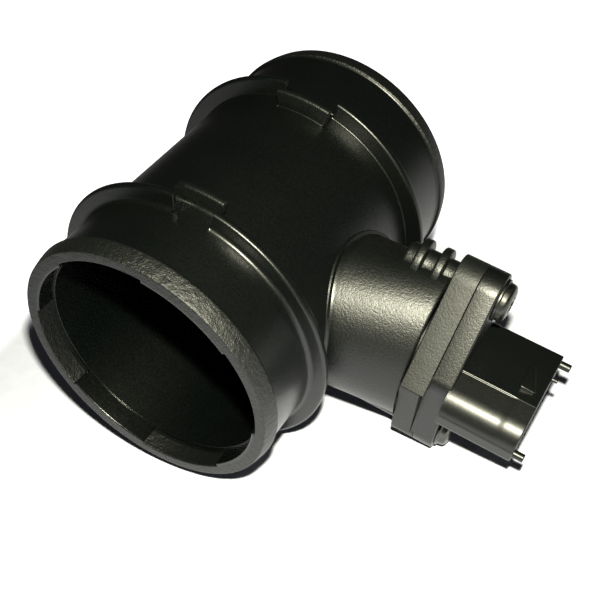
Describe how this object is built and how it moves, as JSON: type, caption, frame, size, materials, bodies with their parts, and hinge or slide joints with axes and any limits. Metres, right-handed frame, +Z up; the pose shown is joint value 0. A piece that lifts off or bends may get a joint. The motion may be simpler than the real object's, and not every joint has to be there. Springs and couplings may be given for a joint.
{
  "type": "mass airflow sensor",
  "caption": "Hot-film air mass meter: moulded intake tube with stop ribs, flow grid and screen, and a bolted plug-in sensor module with a keyed electrical connector.",
  "frame": {"origin": "on the tube's axis, at the open front mouth's rim", "axes": "+Y along the tube's axis from the open front mouth to the rear mouth with the flow grid, +Z up as the unit lies on both stop ribs and its flange, +X the side of the sensor module"},
  "size_m": [0.1232, 0.096, 0.077],
  "materials": {
    "housing_plastic": "moulded glass-filled plastic, fine mottled grain",
    "module_plastic": "moulded glass-filled plastic, slightly smoother",
    "seal_rubber": "satin rubber",
    "screw_steel": "dark phosphated steel",
    "terminal_tin": "tinned copper alloy",
    "plate_aluminium": "stamped aluminium",
    "board_ceramic": "glazed ceramic board",
    "chip_black": "moulded chip body",
    "capacitor_tan": "ceramic capacitor with tinned ends",
    "carrier_plastic": "fine moulded carrier",
    "sensor_silicon": "polished silicon",
    "bead_epoxy": "epoxy dipped bead",
    "bond_aluminium": "drawn aluminium wire",
    "gel_clear": "soft clear gel",
    "cover_plastic": "moulded cover",
    "grid_plastic": "moulded grid",
    "screen_steel": "woven stainless wire",
    "ring_steel": "turned retaining ring"
  },
  "bodies": {
    "root": {"air_tube": "housing_plastic", "sensor_body": "module_plastic", "seal_ring": "seal_rubber", "upper_screw": "screw_steel", "lower_screw": "screw_steel", "terminal_1": "terminal_tin", "terminal_2": "terminal_tin", "terminal_3": "terminal_tin", "terminal_4": "terminal_tin", "terminal_5": "terminal_tin", "base_plate": "plate_aluminium", "hybrid_board": "board_ceramic", "evaluation_chip": "chip_black", "filter_capacitor_1": "capacitor_tan", "filter_capacitor_2": "capacitor_tan", "chip_carrier": "carrier_plastic", "sensor_chip": "sensor_silicon", "temperature_bead": "bead_epoxy", "bond_wires": "bond_aluminium", "gel_fill": "gel_clear", "electronics_cover": "cover_plastic", "channel_cover": "cover_plastic", "flow_grid": "grid_plastic", "wire_screen": "screen_steel", "screen_ring": "ring_steel"}
  },
  "joints": []
}
